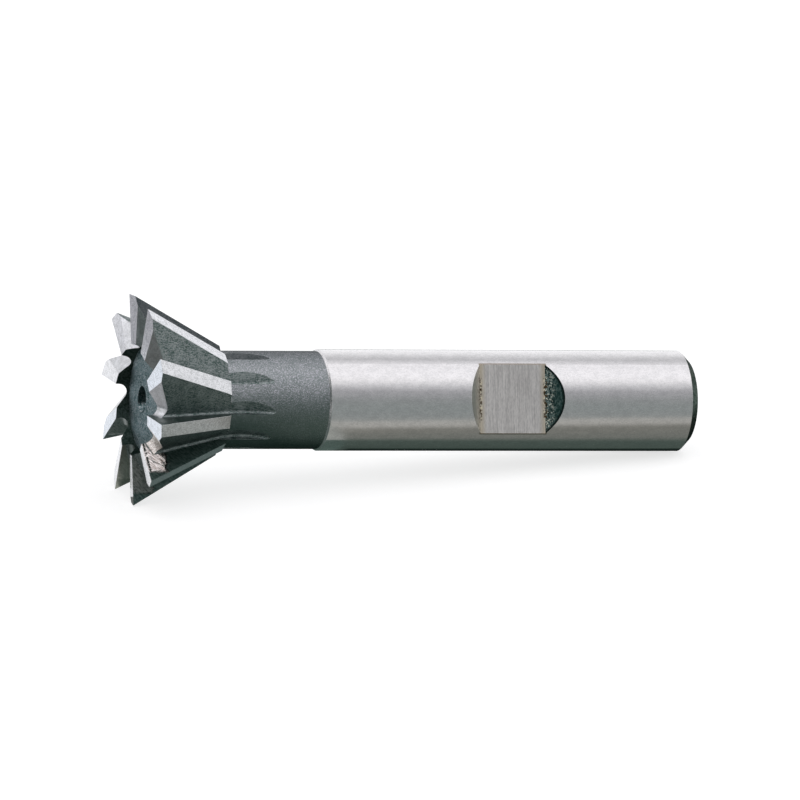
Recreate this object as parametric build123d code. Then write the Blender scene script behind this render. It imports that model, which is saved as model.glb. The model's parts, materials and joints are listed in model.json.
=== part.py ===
from build123d import *
from build123d.topology import SkipClean
import os
from math import asin, atan, atan2, cos, degrees, hypot, radians, sin, sqrt, tan

# Dovetail milling cutter on a plain round shank, one piece of high speed steel.
# Ten straight teeth stand on a short cone and run round onto its large flat end.
# Lengths are in millimetres and angles in degrees.
# The axis is X while the cutter is shaped: the large end is at X = 0, the shank runs to +X.
# Places round the axis are counted from +Z towards -Y, the way the teeth trail,
# and the tip of the first tooth is at place 0 until the cutter is laid down.

# Head
head_diameter = 25.0
head_width = 10.4
dovetail_angle = 60.0
tooth_count = 10
rake_angle = 3.0
land_width = 1.6
cone_relief = 8.0
face_relief = 8.0
face_dish = 0.08

# Hollow middle of the large end
hollow_diameter = 13.2
hollow_floor_diameter = 12.2
hollow_depth = 1.6
floor_rise = 0.35

# Tooth gaps of the cone, ground by a wheel with one flat side and a round nose
gap_angle = 65.0
gap_nose_radius = 0.3
wheel_radius = 11.2
wheel_hub_radius = 0.5
run_out_depth = 0.65

# Tooth gaps of the flat end, and the lands that they leave there, widest at the tips
face_land_width = 2.45
face_land_taper = 9.0
face_gap_angle = 57.0
face_gap_nose_radius = 0.9

# Neck and shank
overall_length = 69.0
neck_diameter = 11.6
neck_fillet = 0.3
shank_diameter = 12.0
shank_start = 22.9
shank_chamfer = 1.0

# Clamping flat of the shank
flat_depth = 1.6
flat_length = 8.1
flat_from_rear = 23.1
flat_front_slope = 45.0
flat_rear_slope = 39.0
flat_place = 91.8

# Centre holes of both ends
centre_diameter = 3.35
pilot_diameter = 1.6
centre_angle = 60.0
pilot_depth = 1.5
drill_point_angle = 118.0

# Grinding stock on the blank, and how far cutting bodies pass its corners and stand clear of it
stock = 0.2
overlap = 0.05
clear = 2.0

head_radius = head_diameter / 2
neck_radius = neck_diameter / 2
shank_radius = shank_diameter / 2
hollow_radius = hollow_diameter / 2
floor_radius = hollow_floor_diameter / 2
cone_slope = tan(radians(90 - dovetail_angle))
tooth_pitch = 360 / tooth_count
rake_offset = head_radius * sin(radians(rake_angle))
tip_height = sqrt(head_radius ** 2 - rake_offset ** 2)
edge_rear_height = tip_height - head_width * cone_slope
gap_bottom_radius = neck_radius - run_out_depth
floor_centre_depth = hollow_depth - floor_rise
reach = stock / tan(radians(dovetail_angle / 2)) + overlap

# The tooth opposite the first lies on its heel when the cutter rests, the next one on its tip
resting_tooth = tooth_count // 2

across = Vector(0, 1, 0)
trailing = Vector(0, -1, 0)
cone_outward = Vector(cos(radians(dovetail_angle)), 0, sin(radians(dovetail_angle)))
face_outward = Vector(-1, 0, 0)


def turned(outline):
    """Solid of revolution about X from (place along X, radius) corners."""
    corners = [Vector(along, 0, radius) for along, radius in outline]
    return revolve(make_face(Polyline(*corners, close=True)), Axis.X)


def head_blank():
    """Cone of the head with grinding stock, and how far its rear end stands above the neck."""
    stock_radius = head_radius + stock / sin(radians(dovetail_angle)) + stock * cone_slope
    rear_stock_radius = stock_radius - (head_width + stock) * cone_slope
    cone = turned([
        (-stock, 0),
        (-stock, stock_radius),
        (head_width, rear_stock_radius),
        (head_width, 0),
    ])
    return cone, rear_stock_radius - neck_radius


def hollow():
    """Turned hollow of the large end, its floor a shallow cone that rises to the middle."""
    mouth_radius = hollow_radius + (hollow_radius - floor_radius) * stock / hollow_depth
    return turned([
        (-stock, 0),
        (-stock, mouth_radius),
        (hollow_depth, floor_radius),
        (floor_centre_depth, 0),
    ])


def neck():
    """Neck, from inside the head to the step where the shank starts."""
    return turned([
        (0, 0),
        (0, neck_radius),
        (shank_start - (shank_radius - neck_radius), neck_radius),
        (shank_start, shank_radius),
        (shank_start, 0),
    ])


def turned_blank():
    """Head and neck as turned, with a fillet where the neck leaves the head."""
    head, shoulder = head_blank()
    blank = head + neck()
    corner = blank.edges().filter_by(GeomType.CIRCLE).sort_by(
        lambda edge: hypot(edge.center().X - head_width, edge.radius - neck_radius))[0]
    return fillet(corner, min(neck_fillet, abs(shoulder) / 2)) - hollow()


def nose_tangent(angle, nose_radius):
    """Where the sloping side of a wheel section leaves its round nose: (across, up)."""
    return nose_radius * (1 + cos(radians(angle))), nose_radius * (1 - sin(radians(angle)))


def nose_depth(width, angle, nose_radius):
    """How deep the nose lies below the place where a gap is this wide."""
    tangent_across, tangent_up = nose_tangent(angle, nose_radius)
    return tangent_up + (width - tangent_across) / tan(radians(angle))


def wheel_section(angle, nose_radius, height):
    """Section of a wheel: nose at the origin, flat side up local Y, sloping side across."""
    tangent = nose_tangent(angle, nose_radius)
    far_across = tangent[0] + (height - tangent[1]) * tan(radians(angle))
    half_way = radians((180 + angle) / 2)
    nose = (nose_radius * (1 + cos(half_way)), nose_radius * (1 - sin(half_way)))
    flat_side = Polyline((0, nose_radius), (0, height), (far_across, height), tangent)
    return make_face(Curve() + [flat_side, ThreePointArc(tangent, nose, (0, nose_radius))])


def land_back(height, drop, width):
    """Back edge of the land before a tooth, seen from that tooth: (height, gap width)."""
    pitch = radians(tooth_pitch)
    edge_height = height - drop
    aside = rake_offset + width
    return (edge_height * cos(pitch) + aside * sin(pitch),
            edge_height * sin(pitch) - aside * cos(pitch) + rake_offset)


def cone_gap():
    """Body that the wheel sweeps along one gap of the cone and where it lifts out."""
    pitch = radians(tooth_pitch)
    relief = radians(cone_relief + rake_angle)
    slope_factor = cone_slope * cos(pitch)
    gap_factor = cone_slope * sin(pitch) / tan(radians(gap_angle))
    feed = atan(slope_factor) - asin(gap_factor / hypot(1, slope_factor))
    drop = land_width * sin(relief) / sin(radians(dovetail_angle))
    height, width = land_back(tip_height, drop, land_width * cos(relief))
    root_front = height - nose_depth(width, gap_angle, gap_nose_radius) / cos(feed)
    wheel_height = gap_bottom_radius + wheel_radius
    wheel_place = (wheel_radius / cos(feed) - wheel_height + root_front) / tan(feed)

    backward = Vector(cos(feed), 0, -sin(feed))
    wheel_centre = Vector(wheel_place, -rake_offset, wheel_height)
    outward = Vector(sin(feed), 0, cos(feed))
    section_plane = Plane(wheel_centre - outward * wheel_radius, x_dir=across, z_dir=backward)
    full_height = head_radius - gap_bottom_radius + clear
    full_section = section_plane * wheel_section(gap_angle, gap_nose_radius, full_height)
    rim_height = wheel_radius - wheel_hub_radius
    rim_section = section_plane * wheel_section(gap_angle, gap_nose_radius, rim_height)
    straight = extrude(full_section, wheel_place / cos(feed) + clear, dir=-backward)
    lifting = revolve(rim_section, Axis(wheel_centre, trailing), 90)
    return straight + lifting


def face_gap():
    """Body that the wheel sweeps inward along one gap of the large end."""
    back_edge_turn = radians(tooth_pitch - face_land_taper)
    feed = asin(tan(back_edge_turn) / tan(radians(face_gap_angle)))
    relief = radians(face_relief)
    height, width = land_back(tip_height, 0, face_land_width * cos(relief))
    depth = nose_depth(width, face_gap_angle, face_gap_nose_radius) / cos(feed)
    root = Vector(depth + face_land_width * sin(relief), -rake_offset, height)
    outward = Vector(sin(feed), 0, cos(feed))
    inward_length = (head_radius - floor_radius + clear) / cos(feed)
    section_plane = Plane(root - outward * inward_length, x_dir=across, z_dir=outward)
    section = section_plane * wheel_section(face_gap_angle, face_gap_nose_radius, head_radius / 2)
    return extrude(section, inward_length + head_radius / 2)


def relief_block(start, end, outward, relief, land):
    """Block over one land, its underside the relieved face behind the cutting edge."""
    turn = radians(relief)
    behind = trailing * cos(turn) - outward * sin(turn)
    upward = outward * cos(turn) + trailing * sin(turn)
    length = (end - start).length + 2 * reach
    width = land + stock * tan(radians(gap_angle)) + 2 * reach
    block = Box(width, length, clear, align=(Align.MIN, Align.CENTER, Align.MIN))
    return Plane((start + end) / 2 - behind * reach, x_dir=behind, z_dir=upward) * block


def tooth_cuts():
    """All that is ground away to make one tooth, with its cutting edge near +Z."""
    tip = Vector(0, -rake_offset, tip_height)
    cone_end = Vector(head_width, -rake_offset, edge_rear_height)
    face_end = Vector(face_dish, -rake_offset, hollow_radius)
    cone_land = relief_block(tip, cone_end, cone_outward, cone_relief + rake_angle, land_width)
    face_land = relief_block(tip, face_end, face_outward, face_relief, face_land_width)
    return [cone_gap(), face_gap(), cone_land, face_land]


def clamping_flat():
    """Pocket of the clamping flat, cut from +Z, with a slope at each end."""
    bottom = shank_radius - flat_depth
    rise = flat_depth + reach
    front = overall_length - flat_from_rear - flat_length / 2
    rear = front + flat_length
    corners = [
        Vector(front, 0, bottom),
        Vector(rear, 0, bottom),
        Vector(rear + rise / tan(radians(flat_rear_slope)), 0, bottom + rise),
        Vector(front - rise / tan(radians(flat_front_slope)), 0, bottom + rise),
    ]
    return extrude(make_face(Polyline(*corners, close=True)), shank_radius, both=True)


def shank():
    """Ground shank, its section drawn as the arc that the flat takes away and the arc that stays."""
    chord_height = shank_radius - flat_depth
    chord_half = sqrt(shank_radius ** 2 - chord_height ** 2)
    chord_start = (-chord_half, chord_height)
    chord_end = (chord_half, chord_height)
    taken_arc = ThreePointArc(chord_start, (0, shank_radius), chord_end)
    kept_arc = ThreePointArc(chord_end, (0, -shank_radius), chord_start)
    section_plane = Plane((shank_start, 0, 0), x_dir=across, z_dir=(1, 0, 0))
    section = section_plane * make_face(Curve() + [taken_arc, kept_arc])
    bar = extrude(section, overall_length - shank_start, clean=False)
    bar = chamfer(bar.edges().group_by(Axis.X)[-1], shank_chamfer)
    return (bar - clamping_flat()).rotate(Axis.X, flat_place) - centre_hole(overall_length, -1)


def centre_hole(mouth, inward):
    """Centre hole with its mouth at this place on the axis, drilled inward along X."""
    cone_side = tan(radians(centre_angle / 2))
    mouth_radius = centre_diameter / 2
    pilot_radius = pilot_diameter / 2
    cone_end = (mouth_radius - pilot_radius) / cone_side
    pilot_end = cone_end + pilot_depth
    drill_tip = pilot_end + pilot_radius / tan(radians(drill_point_angle / 2))
    outline = [
        (-reach, 0),
        (-reach, mouth_radius + reach * cone_side),
        (cone_end, pilot_radius),
        (pilot_end, pilot_radius),
        (drill_tip, 0),
    ]
    return turned([(mouth + inward * depth, radius) for depth, radius in outline])


def finished_cutter():
    """The finished cutter in its working frame, the two arcs of its shank left as two faces."""
    cuts = [centre_hole(floor_centre_depth, 1)]
    for tooth in range(tooth_count):
        place = tooth_pitch * tooth - rake_angle
        cuts += [cut.rotate(Axis.X, place) for cut in tooth_cuts()]
    head = turned_blank() - cuts
    with SkipClean():
        return head + shank()


def head_support():
    """Place and depth of the plane that carries the head: heel of one tooth, tip of the next."""
    turn = radians(cone_relief + rake_angle)
    set_back = land_width * sin(radians(face_relief))
    drop = land_width * sin(turn) / sin(radians(dovetail_angle)) + set_back * cone_slope
    heel_aside = rake_offset + land_width * cos(turn)
    heel_height = tip_height - drop
    next_tip = radians(rake_angle + tooth_pitch)
    run = head_radius * sin(next_tip) - heel_aside
    fall = heel_height - head_radius * cos(next_tip)
    normal = atan2(fall, run)
    return degrees(normal) - rake_angle, heel_aside * sin(normal) + heel_height * cos(normal)


def at_rest(cutter):
    """The cutter as it lies: on two teeth and the rear edge of the shank."""
    support_place, support_depth = head_support()
    roll = 180 - support_place - resting_tooth * tooth_pitch
    lean = degrees(atan((support_depth - shank_radius) / (overall_length - shank_chamfer)))
    lying = cutter.rotate(Axis.X, roll).rotate(Axis.Y, lean)
    box = lying.bounding_box()
    return Pos(-box.center().X, -box.center().Y, -box.min.Z) * lying


angle_cutter = at_rest(finished_cutter())
os.makedirs("parts", exist_ok=True)
export_step(angle_cutter, "parts/angle_cutter.step")
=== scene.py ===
import json
from collections import namedtuple
from math import cos, pi, radians, sin

import bpy
from mathutils import Matrix, Vector

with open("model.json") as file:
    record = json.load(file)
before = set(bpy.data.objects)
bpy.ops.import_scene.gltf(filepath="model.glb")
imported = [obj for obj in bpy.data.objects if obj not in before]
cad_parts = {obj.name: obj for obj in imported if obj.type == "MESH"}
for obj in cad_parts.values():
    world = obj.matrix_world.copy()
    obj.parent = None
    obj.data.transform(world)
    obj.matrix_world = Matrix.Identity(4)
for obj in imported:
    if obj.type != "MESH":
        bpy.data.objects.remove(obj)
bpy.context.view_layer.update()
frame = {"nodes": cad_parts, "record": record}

# The looks of a dovetail angle milling cutter of high speed steel.
# It was blackened after milling, and then its shank, flat, lands and the gaps of its large end were ground.
# The tool has its own axes: x runs along the shank from the large end, z stands out of the clamping flat.
# Places and sizes on the tool are in millimetres on those axes, everything else is in metres.

MM = 0.001

# Places on the tool
SHANK_MIDDLE = 45.45
SHANK_RADIUS = 6.0
STEP_START = 22.65
STEP_END = 23.2
FLAT_HEIGHT = 4.4
FLAT_FRONT = 41.85
FLAT_REAR = 49.95
FLAT_MIDDLE = (FLAT_FRONT + FLAT_REAR) / 2
FLAT_HALF = (FLAT_REAR - FLAT_FRONT) / 2
SLOPE_LENGTH = 2.0
REAR_END_START = 67.99
NECK_START = 10.35
NECK_RADIUS = 5.8
HEAD_END = 10.5
FACE_GAP_DEPTH = 2.2
HOLLOW_DEPTH = 1.62
HOLLOW_FLOOR_RADIUS = 6.05
HOLLOW_WALL_RADIUS = 5.85
CENTRE_HOLE_DEPTH = 4.8
CENTRE_HOLE_RADIUS = 1.7
PILOT_RADIUS = 0.82

# Which way faces point: the x part of the normals, for the flat the z part, and for the hollow's wall the
# part away from the axis
FRONT_NORMAL = -0.97
FLOOR_NORMAL = -0.9
REAR_SLOPE_NORMAL = -0.5
STEP_NORMAL = -0.3
FACE_GAP_NORMAL = -0.15
LAND_NORMAL = 0.49
FRONT_SLOPE_NORMAL = 0.6
FLAT_NORMAL = 0.99
HOLLOW_WALL_NORMAL = -0.8
SAME = 0.02

# Sides of the tool, as directions (y, z, 0) away from its axis, where painted shade and painted highlights
# lie
TOP_SIDE = (1, 0, 0)
DARK_SIDE = (-0.95, 0.30, 0)
LOW_SIDE = (-0.809, -0.588, 0)
DARK_TOOTH = (0.951, 0.309, 0)
BRIGHT_TOOTH = (-0.81, 0.585, 0)

# The bright zone of a rake face, ground by the wheel and painted as a highlight that is full on one tooth:
# how far it goes from the large end and from the axis, how ragged its border is, how much it leans to the
# large end, how plain it is on the other teeth, and how long its facets are.
# The dotted line beside the front edge comes and goes between two places each.
RAKE_GRIND_DEPTH = 2.5
RAKE_GRIND_RADIUS = 11.0
RAKE_GRIND_FADE = 0.2
RAKE_GRIND_RAGGED = 1.6
RAKE_GRIND_LEAN = 0.45
RAKE_GRIND_ELSEWHERE = 0.12
FACET_STRETCH = 0.35
EDGE_LINE_START = (0.12, 0.2)
EDGE_LINE_END = (0.5, 0.35)

# How much the bright gap of the large end leans
GAP_LEAN = 0.45

# Rust and burrs at the flat: how far the pits reach to both sides and fade, and the height of the burr
PITS_REACH = 2.3
PITS_FADE = 0.5
BURR_HEIGHT = 0.16
PIT_GRAIN = 3.2

# Edges and specks
EDGE_WEAR = 0.05
SHANK_EDGE_WEAR = 0.12
SPECK_GRAIN = 6

# Tones of the ground steel
SHANK_DARK = (0.64, 0.635, 0.64)
SHANK_LIGHT = (0.75, 0.74, 0.745)
BURR_TONE = (0.26, 0.22, 0.17)
FLAT_DARK = (0.60, 0.57, 0.56)
FLAT_LIGHT = (0.95, 0.91, 0.89)
RUST_TONE = (0.72, 0.60, 0.40)
PIT_TONE = (0.09, 0.06, 0.03)
PIT_RIM_TONE = (1.0, 0.90, 0.68)
LAND_DARK = (0.53, 0.54, 0.56)
LAND_LIGHT = (0.77, 0.78, 0.81)
FACE_GAP_DARK = (0.44, 0.45, 0.46)
FACE_GAP_LIGHT = (0.67, 0.68, 0.70)
# Painted shade on the face gaps of the low side
FACE_GAP_SHADE = (0.07, 0.10, 0.09)
# Painted highlight: the face gap of one tooth, lighter and warmer than the others
BRIGHT_GAP_DARK = (0.60, 0.54, 0.50)
BRIGHT_GAP_LIGHT = (1.0, 0.96, 0.92)
# Painted highlight: the ground zone of one tooth's rake
BRIGHT_RAKE_DARK = (0.42, 0.36, 0.34)
BRIGHT_RAKE_LIGHT = (0.86, 0.81, 0.79)
EDGE_LINE_TONE = (0.03, 0.04, 0.035)
STEP_DARK = (0.52, 0.515, 0.52)
STEP_LIGHT = (0.76, 0.75, 0.76)

# Tones of the black oxide
RAKE_DARK = (0.035, 0.075, 0.068)
RAKE_LIGHT = (0.15, 0.20, 0.185)
# Painted light: paler oxide on the rake of the low side
PALE_RAKE_DARK = (0.16, 0.18, 0.15)
PALE_RAKE_LIGHT = (0.42, 0.43, 0.38)
NECK_DARK = (0.20, 0.23, 0.23)
NECK_LIGHT = (0.32, 0.34, 0.35)
NECK_SPECKS = (0.44, 0.44, 0.48)
GAP_DARK = (0.09, 0.14, 0.13)
GAP_LIGHT = (0.38, 0.42, 0.42)
GAP_SPECKS = (0.60, 0.61, 0.62)
HOLLOW_DARK = (0.04, 0.09, 0.09)
HOLLOW_LIGHT = (0.225, 0.30, 0.32)
HOLLOW_SPECKS = (0.44, 0.48, 0.50)
# Oxide with painted shade: the hollow's far wall and the pilot hole, darkened where shade falls
DEEP_DARK = (0.012, 0.025, 0.02)
DEEP_LIGHT = (0.05, 0.07, 0.065)
END_DARK = (0.05, 0.07, 0.06)
END_LIGHT = (0.12, 0.145, 0.13)
# Painted shade at the outer rim of the flat's rear slope
SLOPE_RIM_SHADE = (0.01, 0.02, 0.018)

# Painted shade on one side, laid over the oxide: it starts and is full where a place faces that side this
# much, from -1 to 1
Shade = namedtuple("Shade", "side start full depth tone")
NECK_SHADE = Shade(side=DARK_SIDE, start=0.0, full=0.9, depth=0.72, tone=(0.08, 0.135, 0.115))
GAP_SHADE = Shade(side=DARK_TOOTH, start=0.90, full=0.97, depth=0.78, tone=(0.03, 0.032, 0.038))
BORE_SHADE = Shade(side=TOP_SIDE, start=-0.45, full=-0.1, depth=0.9, tone=(0.006, 0.018, 0.018))

# The photograph's camera
CAMERA_AZIMUTH = -17.702
CAMERA_ELEVATION = 15.661
CAMERA_DISTANCE = 1.3175
CAMERA_LENS = 501.06
CAMERA_AIM = (-0.0012228, -0.0009458, 0.0093118)
CAMERA_REACH = 20

# The world and the floor
SOFT_LIGHT = 0.55
FLOOR_TONE = 0.45
FLOOR_GLOW = 0.72
FLOOR_SIZE = 3.0

# The light tent. Angles go round the cutter from straight up to the front, tones are the light from there.
TENT_RADIUS = 0.5
TENT_ENDS = (-0.25, 1.0)
TENT_EDGES = (-90, 90)
TENT_STEPS = 36
TENT_TONES = (
    (-90, (1.17, 1.17, 1.19)),
    (-60, (1.10, 1.10, 1.12)),
    (-40, (0.80, 0.80, 0.82)),
    (-30, (0.66, 0.66, 0.68)),
    (-18, (1.14, 1.13, 1.16)),
    (18, (1.22, 1.21, 1.24)),
    (29, (1.13, 1.12, 1.14)),
    (43, (0.76, 0.76, 0.78)),
    (55, (0.47, 0.47, 0.49)),
    (66, (0.41, 0.42, 0.43)),
    (76, (0.34, 0.36, 0.36)),
    (90, (0.32, 0.35, 0.345)),
)
LEFT_LIGHT_ENDS = (-1.0, -0.25)
LEFT_LIGHT_EDGES = (-60, -10)
LEFT_LIGHT_TONE = (1.5, 1.48, 1.52)

# The mat under the shank, with its tones from front to back. Its dark band under the cutter is painted
# shadow, the cutter's contact shadow as the steel reflects it.
MAT_ENDS = (-0.008, 0.6)
MAT_SIDES = (-0.5, 0.5)
MAT_HEIGHT = 0.0001
MAT_REACH = 0.05
MAT_TONES = (
    (-0.050, (0.32, 0.35, 0.345)),
    (-0.025, (0.33, 0.355, 0.35)),
    (-0.0195, (0.35, 0.37, 0.36)),
    (-0.016, (0.475, 0.475, 0.45)),
    (-0.0125, (0.475, 0.47, 0.44)),
    (-0.010, (0.25, 0.25, 0.225)),
    (-0.0058, (0.205, 0.215, 0.195)),
    # Painted shadow: the dark band under the cutter
    (-0.0046, (0.085, 0.115, 0.10)),
    (0.003, (0.045, 0.065, 0.055)),
    (0.008, (0.01, 0.018, 0.014)),
    (0.017, (0.01, 0.018, 0.014)),
    (0.024, (0.32, 0.35, 0.345)),
)

# More mats: the name, from where to where they go along x and y, and the tone. The last two lie on the first
# mat, and the front edge of the last one runs off by its turn.
UPPER_MAT_HEIGHT = 2 * MAT_HEIGHT
LINE_MAT_TURN = -0.0032
MORE_MATS = (
    ("neck_mat", (-0.016, -0.008), (-0.5, -0.005), (0.38, 0.395, 0.37)),
    # Painted shadow under the neck
    ("dark_mat", (-0.016, -0.008), (-0.005, 0.04), (0.09, 0.13, 0.115)),
    # Painted shadow under the head
    ("head_mat", (-0.0345, -0.016), (-0.5, 0.013), (0.115, 0.15, 0.14)),
    ("front_mat", (-0.10, -0.0345), (-0.5, 0.0), (0.15, 0.16, 0.15)),
    ("left_mat", (-0.10, -0.052), (0.0, 0.02), (0.075, 0.085, 0.08)),
    ("half_mat", (-0.052, -0.0385), (0.0, 0.014), (0.42, 0.42, 0.43)),
    ("cool_mat", (-0.075, -0.038), (0.018, 0.06), (0.98, 1.03, 1.09)),
    ("end_mat", (0.05, 0.6), (0.001, 0.05), (1.3, 1.45, 1.42), UPPER_MAT_HEIGHT),
    # Painted shadow: a dark line under the shank
    ("line_mat", (-0.007, 0.0345), (0.0004, 0.018), (0.012, 0.02, 0.017), UPPER_MAT_HEIGHT, LINE_MAT_TURN),
)

# Upright cards to the left of the cutter: the name, from where to where they go along y and z, and the tone
CARD_PLACE = -0.075
CARDS = (
    ("left_card", (-0.08, 0.012), (0.012, 0.07), (0.05, 0.075, 0.07)),
    ("grey_card", (0.042, 0.066), (0.0, 0.05), (0.32, 0.32, 0.34)),
    ("pale_card", (0.066, 0.087), (0.0, 0.05), (0.74, 0.74, 0.77)),
)

# A colour ramp holds no more than 1, so tones are divided by this, and the lights are as much stronger
TONE_LIMIT = 2.0

# The tool's axes
mounts = {mount["name"]: mount for mount in frame["record"]["mounts"]}
tool_x = Vector(mounts["shank"]["axis"]).normalized()
tool_z = Vector(mounts["clamping_flat"]["axis"]).normalized()
tool_y = tool_z.cross(tool_x)
tool_axes = Matrix((tool_x, tool_y, tool_z))
tool_origin = Vector(mounts["shank"]["pos_m"]) - tool_x * SHANK_MIDDLE * MM


# Shader nodes

def add(tree, kind, inputs=None, **settings):
    """Adds a shader node, sets its properties, and fills its sockets with values or links."""
    node = tree.nodes.new("ShaderNode" + kind)
    for name, value in settings.items():
        setattr(node, name, value)
    for name, value in (inputs or {}).items():
        if isinstance(value, bpy.types.NodeSocket):
            tree.links.new(value, node.inputs[name])
        else:
            node.inputs[name].default_value = value
    return node


def math(tree, operation, a, b=0.0):
    """One step of arithmetic."""
    return add(tree, "Math", {0: a, 1: b}, operation=operation).outputs[0]


def plus(tree, a, b):
    """The sum of two values."""
    return math(tree, "ADD", a, b)


def minus(tree, a, b):
    """The difference of two values."""
    return math(tree, "SUBTRACT", a, b)


def times(tree, a, *others):
    """The product of two or more values."""
    for other in others:
        a = math(tree, "MULTIPLY", a, other)
    return a


def weighted(tree, *parts):
    """The sum of (value, weight) pairs."""
    scaled = [times(tree, value, weight) for value, weight in parts]
    total = scaled[0]
    for part in scaled[1:]:
        total = plus(tree, total, part)
    return total


def rescaled(tree, value, old=(0.0, 1.0), new=(0.0, 1.0)):
    """Carries a value from an old range to a new one and keeps it inside."""
    inputs = {"Value": value, "From Min": old[0], "From Max": old[1], "To Min": new[0], "To Max": new[1]}
    return add(tree, "MapRange", inputs).outputs["Result"]


def smooth_step(tree, value, low, high):
    """Runs from 0 at low to 1 at high. Swap them for a falling step."""
    inputs = {"Value": value, "From Min": low, "From Max": high}
    return add(tree, "MapRange", inputs, interpolation_type="SMOOTHSTEP").outputs["Result"]


def below(tree, value, edge, fade):
    """1 below the edge and 0 above it, with a fade to both sides of it."""
    return smooth_step(tree, value, edge + fade, edge - fade)


def blend(tree, factor, a, b):
    """Mixes two colours."""
    node = add(tree, "Mix", data_type="RGBA")
    for index, value in ((0, factor), (6, a), (7, b)):
        if isinstance(value, bpy.types.NodeSocket):
            tree.links.new(value, node.inputs[index])
        elif index == 0:
            node.inputs[index].default_value = value
        else:
            node.inputs[index].default_value = (*value, 1)
    return node.outputs[2]


def laid_over(tree, colour, tone, *amounts):
    """The colour with a tone over it, as much as the product of the amounts."""
    return blend(tree, times(tree, *amounts), colour, tone)


def split(tree, vector):
    """The parts of a vector, by X, Y and Z."""
    return add(tree, "SeparateXYZ", {0: vector}).outputs


def tool_point(tree):
    """The place on the tool in millimetres, along the tool's axes."""
    inputs = {
        "Vector": add(tree, "TexCoord").outputs["Object"],
        "Location": tool_origin,
        "Rotation": tool_axes.transposed().to_euler(),
        "Scale": (MM, MM, MM),
    }
    return add(tree, "Mapping", inputs, vector_type="TEXTURE").outputs["Vector"]


def noise(tree, point, scale, stretch=(1, 1, 1), detail=3.0, roughness=0.55, distortion=0.0):
    """Noise from 0 to 1, about scale features to the millimetre. A small stretch draws it out on an axis."""
    scaled = add(tree, "Mapping", {"Vector": point, "Scale": stretch})
    inputs = {
        "Vector": scaled.outputs["Vector"],
        "Scale": scale,
        "Detail": detail,
        "Roughness": roughness,
        "Distortion": distortion,
    }
    return add(tree, "TexNoise", inputs).outputs["Fac"]


def bump(tree, height, distance, strength, under):
    """The normal under it, tilted by a height of this many millimetres."""
    inputs = {"Height": height, "Distance": distance * MM, "Strength": strength, "Normal": under}
    return add(tree, "Bump", inputs).outputs["Normal"]


def worn_edges(tree, radius=EDGE_WEAR):
    """A normal that turns smoothly over sharp edges, so that they catch the light."""
    return add(tree, "Bevel", {"Radius": radius * MM}, samples=4).outputs["Normal"]


def metal(tree, colour, roughness, normal, anisotropic=0.0, grazing=1.0):
    """Bare or oxidised metal. A low grazing value keeps a dull surface dark where it is seen at a low angle.

    Anisotropic steel was ground across the tool's axis, so it spreads a reflection along it.
    """
    inputs = {
        "Base Color": colour,
        "Metallic": 1.0,
        "Roughness": roughness,
        "Normal": normal,
        "Specular Tint": (grazing, grazing, grazing, 1),
        "Anisotropic": anisotropic,
    }
    if anisotropic > 0:
        inputs["Tangent"] = add(tree, "CombineXYZ", dict(zip("XYZ", tool_x))).outputs[0]
    shader = add(tree, "BsdfPrincipled", inputs)
    add(tree, "OutputMaterial", {"Surface": shader.outputs[0]})


def new_material(name):
    """An empty node material and its tree."""
    material = bpy.data.materials.new(name)
    material.use_nodes = True
    material.node_tree.nodes.clear()
    return material, material.node_tree


def from_axis(tree, point):
    """The place along the tool's axis, how far it lies from the axis, and the direction there."""
    place = split(tree, point)
    across = add(tree, "CombineXYZ", {"X": place["Y"], "Y": place["Z"]}).outputs[0]
    radius = add(tree, "VectorMath", {0: across}, operation="LENGTH").outputs["Value"]
    outward = add(tree, "VectorMath", {0: across}, operation="NORMALIZE").outputs[0]
    return place["X"], radius, outward


def facing(tree, point, side):
    """1 on the side of the tool that is named, -1 on the other."""
    outward = from_axis(tree, point)[2]
    return add(tree, "VectorMath", {0: outward, 1: side}, operation="DOT_PRODUCT").outputs["Value"]


def from_flat_middle(tree, x):
    """How far a place lies before or behind the middle of the flat."""
    return math(tree, "ABSOLUTE", minus(tree, x, FLAT_MIDDLE))


def pitted(tree, y):
    """1 in the middle of the flat's ends, where rust made pits, and 0 beside that."""
    return smooth_step(tree, math(tree, "ABSOLUTE", y), PITS_REACH + PITS_FADE, PITS_REACH)


# Finishes

def ground_shank():
    """Cylindrical grinding: fine rings round the axis, which spread a reflection along the shank only."""
    material, tree = new_material("ground_shank")
    point = tool_point(tree)
    rings = noise(tree, point, 9, stretch=(1, 0.02, 0.02), detail=4)
    cloud = noise(tree, point, 0.35, detail=4, roughness=0.6)
    mottle = noise(tree, point, 1.4, stretch=(0.7, 1, 1), detail=5, roughness=0.7)
    grain = noise(tree, point, 6, stretch=(0.6, 1, 1), detail=3, roughness=0.7)
    both = weighted(tree, (mottle, 0.5), (grain, 0.5))
    colour = blend(tree, smooth_step(tree, both, 0.40, 0.60), SHANK_DARK, SHANK_LIGHT)
    place = split(tree, point)
    along_flat = smooth_step(tree, from_flat_middle(tree, place["X"]), FLAT_HALF + 0.25, FLAT_HALF + 0.05)
    under_edge = smooth_step(tree, place["Z"], FLAT_HEIGHT - BURR_HEIGHT, FLAT_HEIGHT - BURR_HEIGHT / 2)
    colour = laid_over(tree, colour, BURR_TONE, along_flat, under_edge)
    normal = bump(tree, mottle, 0.006, 0.3, worn_edges(tree, SHANK_EDGE_WEAR))
    normal = bump(tree, rings, 0.006, 0.3, normal)
    metal(tree, colour, rescaled(tree, cloud, new=(0.15, 0.22)), normal, anisotropic=0.7)
    return material


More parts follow.
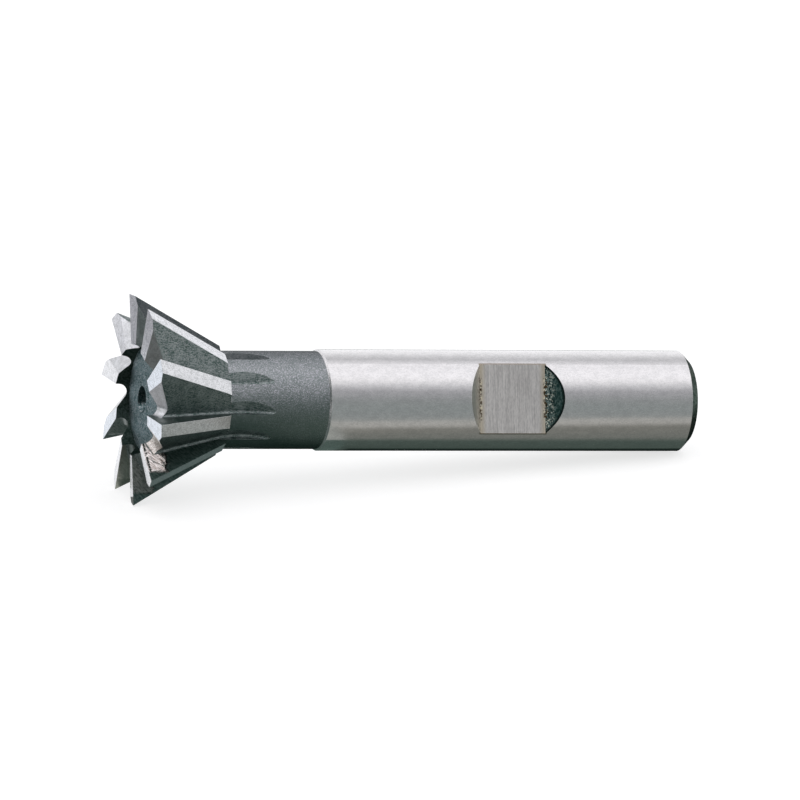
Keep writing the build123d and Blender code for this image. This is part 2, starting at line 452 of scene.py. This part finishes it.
def ground_flat():
    """Surface grinding across the flat, with rust-brown oxide and pits at both ends."""
    material, tree = new_material("ground_flat")
    point = tool_point(tree)
    fine = noise(tree, point, 9, stretch=(1, 0.025, 0.025), detail=4, roughness=0.7)
    grain = noise(tree, point, 7, stretch=(1, 0.3, 0.3), detail=3)
    broad = noise(tree, point, 1.1, stretch=(1, 0.04, 0.04), detail=4, roughness=0.7)
    lines = weighted(tree, (fine, 0.5), (broad, 0.25), (grain, 0.25))
    colour = blend(tree, smooth_step(tree, lines, 0.38, 0.62), FLAT_DARK, FLAT_LIGHT)
    place = split(tree, point)
    from_middle = from_flat_middle(tree, place["X"])
    rusty = smooth_step(tree, from_middle, FLAT_HALF - 0.85, FLAT_HALF - 0.05)
    colour = laid_over(tree, colour, RUST_TONE, rusty, 0.55)
    at_end = smooth_step(tree, from_middle, FLAT_HALF - 0.3, FLAT_HALF - 0.1)
    ends = times(tree, at_end, pitted(tree, place["Y"]))
    spots = noise(tree, point, PIT_GRAIN, detail=2)
    colour = laid_over(tree, colour, PIT_TONE, ends, smooth_step(tree, spots, 0.50, 0.56))
    colour = laid_over(tree, colour, PIT_RIM_TONE, ends, smooth_step(tree, spots, 0.46, 0.40))
    metal(tree, colour, 0.42, bump(tree, lines, 0.03, 0.5, worn_edges(tree)), anisotropic=0.5)
    return material


def black_oxide(
    name,
    dark,
    light,
    rough=0.45,
    grain=4,
    height=0.08,
    stretch=(1, 1, 1),
    specks=None,
    speckled=1.0,
    shade=None,
    grazing=0.4,
):
    """Steel oxide left by the blackening bath, over whatever the earlier cut left, and painted shade on one
    side where a shade is given.
    """
    material, tree = new_material(name)
    point = tool_point(tree)
    texture = noise(tree, point, grain, stretch=stretch, detail=3, roughness=0.65)
    cloud = noise(tree, point, 0.7, detail=5, roughness=0.65)
    both = weighted(tree, (texture, 0.65), (cloud, 0.35))
    colour = blend(tree, smooth_step(tree, both, 0.40, 0.60), dark, light)
    if specks is not None:
        dots = smooth_step(tree, noise(tree, point, SPECK_GRAIN, detail=1), 0.50, 0.66)
        colour = laid_over(tree, colour, specks, dots, speckled)
    # Painted shade: darker oxide on the side that the shade names
    if shade is not None:
        toward = smooth_step(tree, facing(tree, point, shade.side), shade.start, shade.full)
        colour = laid_over(tree, colour, shade.tone, toward, shade.depth)
    metal(tree, colour, rough, bump(tree, texture, height, 1.0, worn_edges(tree)), grazing=grazing)
    return material


def slope(name, dark, light, specks, specks_reach, outer, outer_depth, rim_depth):
    """The curved end of the flat's cut: rust pits and sparkles beside the flat, fine specks further out."""
    material, tree = new_material(name)
    point = tool_point(tree)
    grain = noise(tree, point, 6, stretch=(1, 0.35, 0.35), detail=3, roughness=0.7)
    colour = blend(tree, smooth_step(tree, grain, 0.42, 0.62), dark, light)
    x, radius, _ = from_axis(tree, point)
    from_middle = from_flat_middle(tree, x)
    outside = smooth_step(tree, from_middle, FLAT_HALF + 0.25, FLAT_HALF + 1.25)
    colour = laid_over(tree, colour, outer, outside, outer_depth)
    near = smooth_step(tree, from_middle, FLAT_HALF + specks_reach, FLAT_HALF)
    dots = smooth_step(tree, noise(tree, point, 4.5, detail=1), 0.56, 0.63)
    colour = laid_over(tree, colour, specks, near, dots)
    beside = smooth_step(tree, from_middle, FLAT_HALF + 0.35, FLAT_HALF + 0.15)
    pits = smooth_step(tree, noise(tree, point, PIT_GRAIN, detail=2), 0.50, 0.56)
    colour = laid_over(tree, colour, PIT_TONE, beside, pitted(tree, split(tree, point)["Y"]), pits)
    # Painted shade: the outer rim is darkened, as much as rim_depth
    rim = smooth_step(tree, radius, SHANK_RADIUS - 0.28, SHANK_RADIUS - 0.10)
    colour = laid_over(tree, colour, SLOPE_RIM_SHADE, rim, rim_depth)
    metal(tree, colour, 0.4, bump(tree, grain, 0.06, 1.0, worn_edges(tree)), grazing=0.4)
    return material


def ground_land():
    """Tool grinding: bright, slightly clouded, with faint lines along the edge."""
    material, tree = new_material("ground_land")
    point = tool_point(tree)
    cloud = noise(tree, point, 1.6, detail=4, roughness=0.6)
    lines = noise(tree, point, 7, stretch=(0.3, 1, 1), detail=4, roughness=0.7)
    both = weighted(tree, (cloud, 0.35), (lines, 0.65))
    colour = blend(tree, smooth_step(tree, both, 0.38, 0.60), LAND_DARK, LAND_LIGHT)
    normal = bump(tree, cloud, 0.02, 0.4, worn_edges(tree))
    metal(tree, colour, 0.17, bump(tree, lines, 0.006, 0.5, normal))
    return material


def ground_face_gap():
    """The gap of the large end: ground with the lands, with a painted highlight on one tooth and painted
    shade on the low side.
    """
    material, tree = new_material("ground_face_gap")
    point = tool_point(tree)
    cloud = noise(tree, point, 1.2, detail=5, roughness=0.65)
    grain = noise(tree, point, 6, detail=3, roughness=0.7)
    both = weighted(tree, (cloud, 0.5), (grain, 0.5))
    colour = blend(tree, smooth_step(tree, both, 0.38, 0.62), FACE_GAP_DARK, FACE_GAP_LIGHT)
    # Painted shade: the face gaps of the low side are darkened
    low_side_shade = smooth_step(tree, facing(tree, point, LOW_SIDE), 0.60, 0.75)
    colour = laid_over(tree, colour, FACE_GAP_SHADE, low_side_shade, 0.85)
    # Painted highlight: brighter steel on the face gap of one tooth
    bright = smooth_step(tree, facing(tree, point, BRIGHT_TOOTH), 0.88, 0.95)
    steel = blend(tree, smooth_step(tree, grain, 0.38, 0.58), BRIGHT_GAP_DARK, BRIGHT_GAP_LIGHT)
    colour = blend(tree, bright, colour, steel)
    normal = bump(tree, both, 0.05, 0.6, worn_edges(tree))
    normal = bump(tree, times(tree, split(tree, point)["Z"], bright, GAP_LEAN), 1.0, 1.0, normal)
    metal(tree, colour, rescaled(tree, bright, new=(0.3, 0.5)), normal)
    return material


def rake_grind_and_highlight(tree, point, x, radius):
    """1 in the ragged zone beside the large end that the wheel ground, a painted highlight full on one tooth
    and weaker on the others.
    """
    ragged = times(tree, minus(tree, noise(tree, point, 1.5, detail=4), 0.5), RAKE_GRIND_RAGGED)
    near_end = below(tree, plus(tree, x, ragged), RAKE_GRIND_DEPTH, RAKE_GRIND_FADE)
    near_root = below(tree, plus(tree, radius, times(tree, ragged, 0.5)), RAKE_GRIND_RADIUS, RAKE_GRIND_FADE)
    toward = facing(tree, point, BRIGHT_TOOTH)
    this_tooth = rescaled(tree, toward, old=(0.8, 0.95), new=(RAKE_GRIND_ELSEWHERE, 1.0))
    return times(tree, near_end, near_root, this_tooth)


def rake_oxide(tree, point, speckle):
    """The black oxide of the rake faces, with painted light that makes it paler on the low side."""
    oxide = blend(tree, smooth_step(tree, speckle, 0.3, 0.7), RAKE_DARK, RAKE_LIGHT)
    pale = smooth_step(tree, facing(tree, point, LOW_SIDE), 0.93, 0.99)
    return blend(tree, pale, oxide, blend(tree, speckle, PALE_RAKE_DARK, PALE_RAKE_LIGHT))


def edge_line(tree, point, x):
    """1 on the dots of the line beside the front edge."""
    edge = times(tree, smooth_step(tree, x, *EDGE_LINE_START), smooth_step(tree, x, *EDGE_LINE_END))
    return times(tree, edge, smooth_step(tree, noise(tree, point, 2.6, detail=2), 0.38, 0.48))


def rake():
    """The rake face: black oxide, and bright where the wheel of the end gap left slanting facets, a painted
    highlight full on one tooth.
    """
    material, tree = new_material("rake")
    point = tool_point(tree)
    x, radius, _ = from_axis(tree, point)
    bright = rake_grind_and_highlight(tree, point, x, radius)
    along = times(tree, plus(tree, x, radius), FACET_STRETCH)
    slanting = add(tree, "CombineXYZ", {"X": minus(tree, x, radius), "Y": along}).outputs[0]
    facets = times(tree, noise(tree, slanting, 1.1, detail=2, distortion=0.5), bright)
    speckle = noise(tree, slanting, 3.5, detail=4, roughness=0.7)
    steel = blend(tree, smooth_step(tree, speckle, 0.35, 0.58), BRIGHT_RAKE_DARK, BRIGHT_RAKE_LIGHT)
    colour = blend(tree, bright, rake_oxide(tree, point, speckle), steel)
    colour = laid_over(tree, colour, EDGE_LINE_TONE, edge_line(tree, point, x), bright)
    normal = bump(tree, speckle, 0.02, 0.5, worn_edges(tree))
    normal = bump(tree, times(tree, x, bright, RAKE_GRIND_LEAN), 1.0, 1.0, normal)
    normal = bump(tree, facets, 0.3, 1.0, normal)
    metal(tree, colour, rescaled(tree, bright, new=(0.42, 0.28)), normal)
    return material


FINISHES = {
    "shank": ground_shank(),
    "flat": ground_flat(),
    # Oxide with painted shade on one side of the neck
    "neck": black_oxide(
        "neck_oxide_and_shade",
        NECK_DARK,
        NECK_LIGHT,
        rough=0.25,
        grain=7,
        specks=NECK_SPECKS,
        shade=NECK_SHADE,
        grazing=0.25,
    ),
    # Oxide with painted shade on the gap of one tooth
    "gap": black_oxide(
        "gap_oxide_and_shade",
        GAP_DARK,
        GAP_LIGHT,
        rough=0.42,
        grain=10,
        height=0.06,
        stretch=(0.16, 1, 1),
        specks=GAP_SPECKS,
        speckled=0.45,
        shade=GAP_SHADE,
    ),
    "hollow": black_oxide("hollow_oxide", HOLLOW_DARK, HOLLOW_LIGHT, specks=HOLLOW_SPECKS),
    # Oxide with painted shade in the hollow's far wall and the pilot hole
    "deep": black_oxide("deep_oxide_and_shade", DEEP_DARK, DEEP_LIGHT, rough=0.5, height=0.04),
    # Oxide with painted shade on the upper part of the countersink
    "bore": black_oxide("bore_oxide_and_shade", HOLLOW_DARK, HOLLOW_LIGHT, specks=HOLLOW_SPECKS, shade=BORE_SHADE),
    "front_slope": slope(
        "front_slope",
        dark=(0.54, 0.51, 0.45),
        light=(0.74, 0.71, 0.64),
        specks=(0.92, 0.88, 0.78),
        specks_reach=0.4,
        outer=(0.38, 0.41, 0.38),
        outer_depth=0.8,
        rim_depth=0.0,
    ),
    # Painted shade: the same runout as the front slope, in far darker tones
    "rear_slope": slope(
        "rear_slope",
        dark=(0.006, 0.024, 0.022),
        light=(0.20, 0.27, 0.26),
        specks=(0.85, 0.87, 0.77),
        specks_reach=1.3,
        outer=(0.02, 0.06, 0.055),
        outer_depth=0.6,
        rim_depth=1.0,
    ),
    "land": ground_land(),
    "rake": rake(),
    "face_gap": ground_face_gap(),
    "step": black_oxide("step_grind", STEP_DARK, STEP_LIGHT, rough=0.36, grain=7, height=0.02, grazing=1.0),
    "end": black_oxide("rear_oxide", END_DARK, END_LIGHT, rough=0.4, grain=3, height=0.04),
}


def shank_finish(place, normal):
    """The finish of a face behind the neck."""
    if abs(place.z - FLAT_HEIGHT) < SAME and normal.z > FLAT_NORMAL:
        return "flat"
    if place.x > REAR_END_START:
        return "end"
    if place.x < STEP_END and normal.x < STEP_NORMAL:
        return "step"
    if FLAT_FRONT - SLOPE_LENGTH < place.x < FLAT_FRONT and normal.x > FRONT_SLOPE_NORMAL:
        return "front_slope"
    if FLAT_REAR < place.x < FLAT_REAR + SLOPE_LENGTH and normal.x < REAR_SLOPE_NORMAL:
        return "rear_slope"
    return "shank"


def head_finish(place, normal):
    """The finish of a face of the head or the neck."""
    x = place.x
    radius = Vector((place.y, place.z)).length
    outward = (normal.y * place.y + normal.z * place.z) / max(radius, SAME)
    if x < HOLLOW_DEPTH and radius > HOLLOW_WALL_RADIUS and outward < HOLLOW_WALL_NORMAL:
        return "deep"
    if x < CENTRE_HOLE_DEPTH and radius < PILOT_RADIUS:
        return "deep"
    if x < CENTRE_HOLE_DEPTH and radius < CENTRE_HOLE_RADIUS and normal.x > FLOOR_NORMAL:
        return "bore"
    if x < CENTRE_HOLE_DEPTH and radius < HOLLOW_FLOOR_RADIUS:
        return "hollow"
    if normal.x < FRONT_NORMAL or abs(normal.x - LAND_NORMAL) < SAME:
        return "land"
    if x < FACE_GAP_DEPTH and normal.x < FACE_GAP_NORMAL:
        return "face_gap"
    if x < HEAD_END and radius > NECK_RADIUS and abs(normal.x) < SAME:
        return "rake"
    if x > NECK_START and radius > NECK_RADIUS - SAME:
        return "neck"
    return "gap"


def dress(cutter):
    """Gives every face of the cutter its finish."""
    order = list(FINISHES)
    cutter.data.materials.clear()
    for name in order:
        cutter.data.materials.append(FINISHES[name])
    for face in cutter.data.polygons:
        place = tool_axes @ (face.center - tool_origin) / MM
        normal = tool_axes @ face.normal
        finish = shank_finish(place, normal) if place.x > STEP_START else head_finish(place, normal)
        face.material_index = order.index(finish)


# The studio

def seen_directly(tree):
    """1 where the camera, a reflection or a refraction sees the background, 0 for the light on things."""
    path = add(tree, "LightPath").outputs
    seen = math(tree, "MAXIMUM", path["Is Camera Ray"], path["Is Glossy Ray"])
    return math(tree, "MAXIMUM", seen, path["Is Transmission Ray"])


def make_world():
    """A white background whose light on things is soft."""
    world = bpy.data.worlds.new("studio")
    world.use_nodes = True
    tree = world.node_tree
    tree.nodes.clear()
    light = rescaled(tree, seen_directly(tree), new=(SOFT_LIGHT, 1.0))
    background = add(tree, "Background", {"Color": (1, 1, 1, 1), "Strength": light})
    add(tree, "OutputWorld", {"Surface": background.outputs[0]})
    bpy.context.scene.world = world


def stage_piece(name, corners, faces, material):
    """A piece of the stage."""
    mesh = bpy.data.meshes.new(name)
    mesh.from_pydata(corners, [], faces)
    mesh.materials.append(material)
    made = bpy.data.objects.new(name, mesh)
    bpy.context.scene.collection.objects.link(made)
    return made


def make_floor():
    """A pale floor that is white in the open and keeps the cutter's shadow."""
    material, tree = new_material("floor")
    diffuse = add(tree, "BsdfDiffuse", {"Color": (FLOOR_TONE, FLOOR_TONE, FLOOR_TONE, 1)})
    glow = add(tree, "Emission", {"Strength": times(tree, seen_directly(tree), FLOOR_GLOW)})
    both = add(tree, "AddShader", {0: diffuse.outputs[0], 1: glow.outputs[0]})
    add(tree, "OutputMaterial", {"Surface": both.outputs[0]})
    size = FLOOR_SIZE
    corners = [(-size, -size, 0), (size, -size, 0), (size, size, 0), (-size, size, 0)]
    stage_piece("floor", corners, [(0, 1, 2, 3)], material)


def weaker(tone):
    """A tone within a ramp's limit, as a colour."""
    return (*(part / TONE_LIMIT for part in tone), 1)


def fill_ramp(tree, factor, tones, position):
    """A colour ramp through (place, tone) pairs."""
    ramp = add(tree, "ValToRGB", {"Fac": factor})
    stops = ramp.color_ramp.elements
    for index, (place, tone) in enumerate(tones):
        stop = stops[index] if index < len(stops) else stops.new(1)
        stop.position = position(place)
        stop.color = weaker(tone)
    return ramp.outputs["Color"]


def glowing(name, tone):
    """A material that sends the light of a tone, or of a ramp that a function makes."""
    material, tree = new_material(name)
    colour = tone(tree) if callable(tone) else weaker(tone)
    glow = add(tree, "Emission", {"Color": colour, "Strength": TONE_LIMIT})
    add(tree, "OutputMaterial", {"Surface": glow.outputs[0]})
    return material


def seen_in_reflections(made, lights=False):
    """Keeps a studio piece out of the camera's sight."""
    made.visible_camera = False
    made.visible_transmission = False
    made.visible_diffuse = lights
    made.visible_shadow = lights


def tent_light(tree):
    """The tent's tones by the angle round the cutter."""
    place = split(tree, add(tree, "TexCoord").outputs["Object"])
    angle = math(tree, "ARCTAN2", times(tree, place["Y"], -1.0), place["Z"])
    factor = rescaled(tree, angle, old=(-pi / 2, pi / 2))
    return fill_ramp(tree, factor, TENT_TONES, lambda degrees: degrees / 180 + 0.5)


def mat_light(tree):
    """The mat's tones from front to back."""
    y = split(tree, add(tree, "TexCoord").outputs["Object"])["Y"]
    factor = rescaled(tree, y, old=(-MAT_REACH, MAT_REACH))
    return fill_ramp(tree, factor, MAT_TONES, lambda place: (place + MAT_REACH) / (2 * MAT_REACH))


def around(angle):
    """(y, z) of the tent at an angle round the cutter from straight up towards the front."""
    return -TENT_RADIUS * sin(radians(angle)), TENT_RADIUS * cos(radians(angle))


def make_tent(name, ends, edges, tone, lights):
    """A curved sheet over the cutter, from end to end along x and from edge to edge round it."""
    steps = [edges[0] + (edges[1] - edges[0]) * step / TENT_STEPS for step in range(TENT_STEPS + 1)]
    corners = [(x, *around(angle)) for angle in steps for x in ends]
    faces = [(2 * step, 2 * step + 1, 2 * step + 3, 2 * step + 2) for step in range(TENT_STEPS)]
    seen_in_reflections(stage_piece(name, corners, faces, glowing(name, tone)), lights)


def make_mat(name, ends, sides, tone, height=MAT_HEIGHT, turn=0.0):
    """A mat under or before the cutter, which only reflections see; the dark ones under the cutter are
    painted shadow.
    """
    x0, x1 = ends
    y0, y1 = sides
    corners = [(x0, y0, height), (x1, y0 + turn, height), (x1, y1, height), (x0, y1, height)]
    seen_in_reflections(stage_piece(name, corners, [(0, 1, 2, 3)], glowing(name, tone)))


def make_card(name, sides, heights, tone):
    """A small upright card to the left of the cutter."""
    y0, y1 = sides
    z0, z1 = heights
    corners = [(CARD_PLACE, y0, z0), (CARD_PLACE, y1, z0), (CARD_PLACE, y1, z1), (CARD_PLACE, y0, z1)]
    seen_in_reflections(stage_piece(name, corners, [(0, 1, 2, 3)], glowing(name, tone)))


def make_camera():
    """The camera at the photograph's angle."""
    camera = bpy.data.cameras.new("photo_camera")
    camera.lens = CAMERA_LENS
    camera.clip_end = CAMERA_REACH
    made = bpy.data.objects.new("photo_camera", camera)
    azimuth, elevation = radians(CAMERA_AZIMUTH), radians(CAMERA_ELEVATION)
    toward = Vector((sin(azimuth) * cos(elevation), -cos(azimuth) * cos(elevation), sin(elevation)))
    made.location = Vector(CAMERA_AIM) + toward * CAMERA_DISTANCE
    made.rotation_euler = toward.to_track_quat("Z", "Y").to_euler()
    bpy.context.scene.collection.objects.link(made)
    bpy.context.scene.camera = made


dress(frame["nodes"]["angle_cutter"])
make_world()
make_floor()
make_tent("tent", TENT_ENDS, TENT_EDGES, tent_light, lights=True)
make_tent("left_light", LEFT_LIGHT_ENDS, LEFT_LIGHT_EDGES, LEFT_LIGHT_TONE, lights=False)
make_mat("mat", MAT_ENDS, MAT_SIDES, mat_light)
for mat in MORE_MATS:
    make_mat(*mat)
for card in CARDS:
    make_card(*card)
make_camera()
bpy.context.scene.view_settings.view_transform = "Standard"
